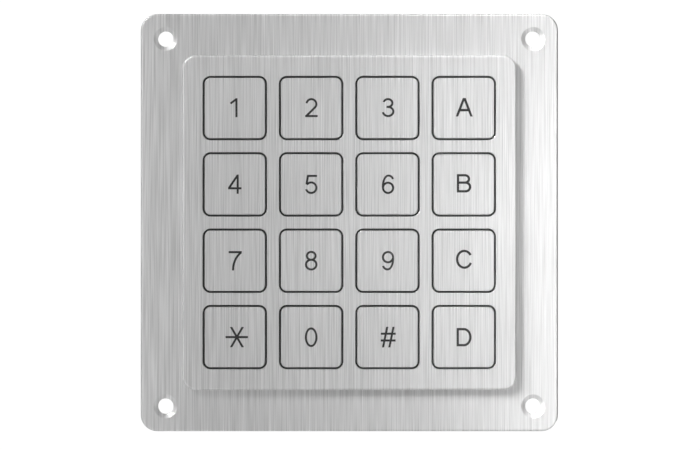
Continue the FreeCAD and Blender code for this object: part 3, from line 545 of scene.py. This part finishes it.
# Sealing sheet: a soft skin with a rounded lip standing in each key's window.
low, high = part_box("key_seal")
SEAL_SIDE, SEAL_RADIUS = high.x - low.x, 2.8 * MM
SEAL_REAR, LIP_TOP = -high.y, -low.y
SEAL_FRONT = SEAL_REAR + 0.5 * MM
LIP_OUTER, LIP_INNER = 15.3 * MM, 14.6 * MM
LIP_OUTER_RADIUS, LIP_INNER_RADIUS = 1.85 * MM, 1.5 * MM
EASE = 0.1 * MM                  # rounding of a moulded edge

seal_edge = [
    rounded_square(CENTRE, SEAL_SIDE - 2 * inset, SEAL_RADIUS - inset, level)
    for inset, level in ((EASE, SEAL_FRONT), (0, SEAL_FRONT - EASE),
                         (0, SEAL_REAR + EASE), (EASE, SEAL_REAR))
]


def lip(centre):
    """Loops of one lip: up its outer wall, over its crown and down its inner wall."""
    profile = [(LIP_OUTER, SEAL_FRONT)]
    profile += crown(LIP_OUTER, LIP_INNER, LIP_TOP, CROWN_STEPS)
    profile += [(LIP_INNER, SEAL_REAR + EASE), (LIP_INNER + 2 * EASE, SEAL_REAR)]
    loops = []
    for side, level in profile:
        inward = min(1.0, (LIP_OUTER - side) / (LIP_OUTER - LIP_INNER))
        radius = LIP_OUTER_RADIUS + (LIP_INNER_RADIUS - LIP_OUTER_RADIUS) * inward
        loops.append(rounded_square(centre, side, radius, level))
    return loops


seal = piece("key_seal_lips", pierced_sheet([seal_edge, *map(lip, KEYS.values())]),
             "black_silicone", "key_seal")
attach(seal, "housing")

# Panel gasket: a die-cut foam ring, its cut edges bulging a little between its two skins.
low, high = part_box("panel_gasket")
GASKET_SIDE, GASKET_RADIUS = high.x - low.x, 3.0 * MM
GASKET_REAR, GASKET_FRONT = -high.y, -low.y
OPENING_SIDE, OPENING_RADIUS = 85.2 * MM, 9.6 * MM
GASKET_HOLE, MOUNT_LINE = 2.5 * MM, 44.0 * MM
BULGE = 0.18 * MM
FOAM_STEPS = 8

foam_profile = []                # how far the cut edge stands back from its fullest, and level
for step in range(FOAM_STEPS + 1):
    across = 2 * step / FOAM_STEPS - 1
    foam_profile.append((BULGE * across ** 4,
                         GASKET_FRONT + (GASKET_REAR - GASKET_FRONT) * step / FOAM_STEPS))

foam_paths = [
    [rounded_square(CENTRE, GASKET_SIDE - 2 * back, GASKET_RADIUS - back, level)
     for back, level in foam_profile],
    [rounded_square(CENTRE, OPENING_SIDE + 2 * back, OPENING_RADIUS + back, level)
     for back, level in foam_profile],
]
for x in (-MOUNT_LINE, MOUNT_LINE):
    for z in (-MOUNT_LINE, MOUNT_LINE):
        foam_paths.append([circle((x, z), GASKET_HOLE + back, level)
                           for back, level in foam_profile])
gasket = piece("panel_gasket_foam", pierced_sheet(foam_paths), "foam_gasket", "panel_gasket")
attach(gasket, "housing")

# Dome mat: a sheet with a raised rim, and on it sixteen domes. A dome is a thin skirt, left
# unbent here, with its foot in the sheet and its shoulder on a stiff plunger that follows the
# key.
low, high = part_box("dome_mat")
MAT_SIDE, MAT_RADIUS = high.x - low.x, 6.6 * MM
MAT_REAR, PLUNGER_TOP = -high.y, -low.y
MAT_FRONT = MAT_REAR + 1.0 * MM
RIM_TOP = MAT_FRONT + 1.0 * MM
RIM_INNER, RIM_INNER_RADIUS = 73.6 * MM, 3.0 * MM
NOTCH = 1.7 * MM
FOOT_RADIUS = 5.95 * MM
SKIRT_THICK = 0.42 * MM
SKIRT_TOP = MAT_FRONT + 1.05 * MM
CAVITY_RADIUS = 5.18 * MM
SKIRT_END = 3.0 * MM             # inside the plunger's wall
PLUNGER_RADIUS, SEAT_RADIUS = 3.2 * MM, 2.6 * MM
SEAT_LEVEL = MAT_FRONT - 0.01 * MM
SKIRT_STEPS = 18

mat_edge = [
    rounded_square(CENTRE, side, radius, level)
    for side, radius, level in (
        (RIM_INNER, RIM_INNER_RADIUS, MAT_FRONT),
        (RIM_INNER, RIM_INNER_RADIUS, RIM_TOP - EASE),
        (RIM_INNER + 2 * EASE, RIM_INNER_RADIUS + EASE, RIM_TOP),
        (MAT_SIDE - 2 * EASE, MAT_RADIUS - EASE, RIM_TOP),
        (MAT_SIDE, MAT_RADIUS, RIM_TOP - EASE),
        (MAT_SIDE, MAT_RADIUS, MAT_REAR + EASE),
        (MAT_SIDE - 2 * EASE, MAT_RADIUS - EASE, MAT_REAR),
    )
]
dome_holes = [[circle(centre, FOOT_RADIUS, MAT_FRONT), circle(centre, FOOT_RADIUS, MAT_REAR)]
              for centre in KEYS.values()]
mat = piece("dome_mat_sheet", pierced_sheet([mat_edge, *dome_holes]), "grey_silicone",
            "dome_mat")
notches = bmesh.new()
for a in (-1, 1):
    for b in (-1, 1):
        for x, z in ((SCREW_LINE, SCREW_OFFSET), (SCREW_OFFSET, SCREW_LINE)):
            revolved(notches, (a * x, b * z),
                     ((0, MAT_REAR - MM), (NOTCH, MAT_REAR - MM), (NOTCH, RIM_TOP + MM),
                      (0, RIM_TOP + MM)), closed=False)
carve(mat, notches)
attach(mat, "housing")


def skirt_profile():
    """The skirt in section: over its curved outside to the plunger, and back underneath."""
    outside, inside = [], []
    rise, run = SKIRT_TOP - MAT_FRONT, FOOT_RADIUS - SKIRT_END
    for step in range(SKIRT_STEPS + 1):
        t = step / SKIRT_STEPS
        radius = FOOT_RADIUS - run * t
        level = MAT_FRONT + rise * t * t * (3 - 2 * t)
        slope = rise / run * 6 * t * (1 - t)
        outside.append((radius, level))
        if radius < CAVITY_RADIUS:
            inside.append((radius, level - SKIRT_THICK * math.sqrt(1 + slope * slope)))
    return outside + inside[::-1] + [(CAVITY_RADIUS, inside[0][1]), (CAVITY_RADIUS, MAT_REAR),
                                     (FOOT_RADIUS, MAT_REAR)]


PLUNGER_PROFILE = (
    (0, SEAT_LEVEL),
    (SEAT_RADIUS - EASE, SEAT_LEVEL),
    (SEAT_RADIUS, SEAT_LEVEL + EASE),
    (PLUNGER_RADIUS, MAT_FRONT + 0.5 * MM),
    (PLUNGER_RADIUS, PLUNGER_TOP - 2 * EASE),
    (PLUNGER_RADIUS - 0.6 * EASE, PLUNGER_TOP - 0.6 * EASE),
    (PLUNGER_RADIUS - 2 * EASE, PLUNGER_TOP),
    (PLUNGER_RADIUS / 2 + EASE, PLUNGER_TOP),
    (PLUNGER_RADIUS / 2, PLUNGER_TOP - 0.5 * EASE),
    (PLUNGER_RADIUS / 2 - EASE, PLUNGER_TOP - EASE),
    (0, PLUNGER_TOP - EASE),
)

for sign, centre in KEYS.items():
    body = f"key_{sign}"
    mesh = bmesh.new()
    revolved(mesh, centre, skirt_profile(), closed=True)
    skirt = piece(f"dome_skirt_{sign}", mesh, "grey_silicone", "dome_mat")
    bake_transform(skirt)
    mesh = bmesh.new()
    revolved(mesh, centre, PLUNGER_PROFILE, closed=False)
    plunger = piece(f"dome_plunger_{sign}", mesh, "grey_silicone", "dome_mat")
    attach(plunger, body)


# ---- Camera, light and floor --------------------------------------------------------------

LENS_MM, SENSOR_MM = 200.0, 36.0
VIEW_WIDTH = 167.3 * MM          # width of the picture at the plate's face
PLATE_FRONT = cad_box[0].y

camera_data = bpy.data.cameras.new("camera")
camera_data.lens = LENS_MM
camera_data.sensor_width = SENSOR_MM
camera = add("camera", camera_data)
AIM_X, AIM_Z = 0.16 * MM, -0.58 * MM
camera.location = (AIM_X, PLATE_FRONT - VIEW_WIDTH * LENS_MM / SENSOR_MM, AIM_Z)
camera.rotation_euler = (math.radians(90), 0, 0)
scene.camera = camera


def panel(name, centre, target, width, height, radiance, cone=180.0):
    """A flat soft light of the given radiance, facing its target, in a cone of light."""
    data = bpy.data.lights.new(name, "AREA")
    data.shape = "RECTANGLE"
    data.size = width
    data.size_y = height
    data.energy = radiance * math.pi * width * height
    data.spread = math.radians(cone)
    light = add(name, data)
    light.location = centre
    towards = Vector(target) - Vector(centre)
    light.rotation_euler = towards.to_track_quat("-Z", "Y").to_euler()
    light.visible_camera = False


def key(name, off_axis, radiance):
    """A small spot above and to the left, off_axis degrees from the plate's normal. Its beam
    passes the plate on the right, so that its light grows from left to right."""
    tilt, aside = math.radians(off_axis), math.radians(KEY_ASIDE)
    sideways = math.sin(tilt) / math.sqrt(2)
    outward = Vector((-sideways, -math.cos(tilt), sideways))
    drift = Vector((1, 0, 0))
    drift.y = -drift.dot(outward) / outward.y
    aim = drift.normalized() * math.sin(aside) - outward * math.cos(aside)
    place_at = outward * KEY_DISTANCE
    panel(name, place_at, place_at + aim, KEY_SIZE, KEY_SIZE, radiance, KEY_CONE)


KEY_DISTANCE, KEY_SIZE = 1.6, 0.15
KEY_CONE, KEY_ASIDE = 10.0, 5.5          # degrees
key("key_low", 62, 5.9)
key("key_middle", 54, 7.4)
key("key_high", 46, 3.3)

# Narrow cards close to the plate's sides.
CARD_WIDTH, CARD_HEIGHT, CARD_FRONT = 0.03, 1.0, 0.10
for name, x, radiance in (("right_card", 0.091, 2.1), ("left_card", -0.091, 1.6)):
    panel(name, (x, -CARD_FRONT, 0), (x, 0, 0), CARD_WIDTH, CARD_HEIGHT, radiance)
panel("rear_left", (-0.9, 1.3, 0.9), (0, 0, 0), 0.9, 0.9, 2.6)
panel("rear", (0.25, 1.7, 0.35), (0, 0, 0), 0.6, 0.6, 2.4)

# Studio surround: white where the camera looks past the object. What lights the object is
# dim in front of it and to the right and below, and brighter to the left, above and behind.
world = bpy.data.worlds.new("studio")
scene.world = world
world.use_nodes = True
sky = world.node_tree
direction = node(sky, "ShaderNodeTexCoord").outputs["Generated"]
FRONT_GLOW = Vector((-0.62, -0.45, 0.64)).normalized()
SIDE_GLOW = Vector((-0.70, 0.0, 0.71)).normalized()
glow = spread(sky, vector_maths(sky, "DOT_PRODUCT", direction, FRONT_GLOW, "Value"),
              0.037, 0.33, -0.7, 0.9)
rear_glow = spread(sky, vector_maths(sky, "DOT_PRODUCT", direction, SIDE_GLOW, "Value"),
                   0.10, 1.0, -0.6, 0.8)
behind = spread(sky, axes(sky, direction)[1], 0.0, 1.0, 0.0, 0.6, smooth=True)
surround = mixed(sky, behind, glow, rear_glow)
BACKDROP = 1.05                  # just past white, where the camera looks past the object
seen = node(sky, "ShaderNodeLightPath").outputs["Is Camera Ray"]
plug(sky, mixed(sky, seen, surround, colour(BACKDROP)), sky.nodes["Background"].inputs["Color"])

FLOOR_HALF, FLOOR_LEVEL = 2.0, -0.35
FLOOR_LIFT = 0.35                # added where the camera sees the floor, to keep it pale
floor_data = bpy.data.meshes.new("floor")
floor_data.from_pydata(
    [(x * FLOOR_HALF, z * FLOOR_HALF, 0) for x, z in ((-1, -1), (1, -1), (1, 1), (-1, 1))],
    [], [(0, 1, 2, 3)],
)
floor = add("floor", floor_data)
floor.location.z = FLOOR_LEVEL
pale_floor = moulded("pale_floor", (0.80,) * 3, (0.84,) * 3, (0.80, 0.92), 300.0, 0.02)
tree = pale_floor.node_tree
shader = tree.nodes["Principled BSDF"]
shader.inputs["Emission Color"].default_value = colour(1)
seen = node(tree, "ShaderNodeLightPath").outputs["Is Camera Ray"]
plug(tree, maths(tree, "MULTIPLY", seen, FLOOR_LIFT), shader.inputs["Emission Strength"])
floor_data.materials.append(pale_floor)

scene.view_settings.view_transform = "Standard"
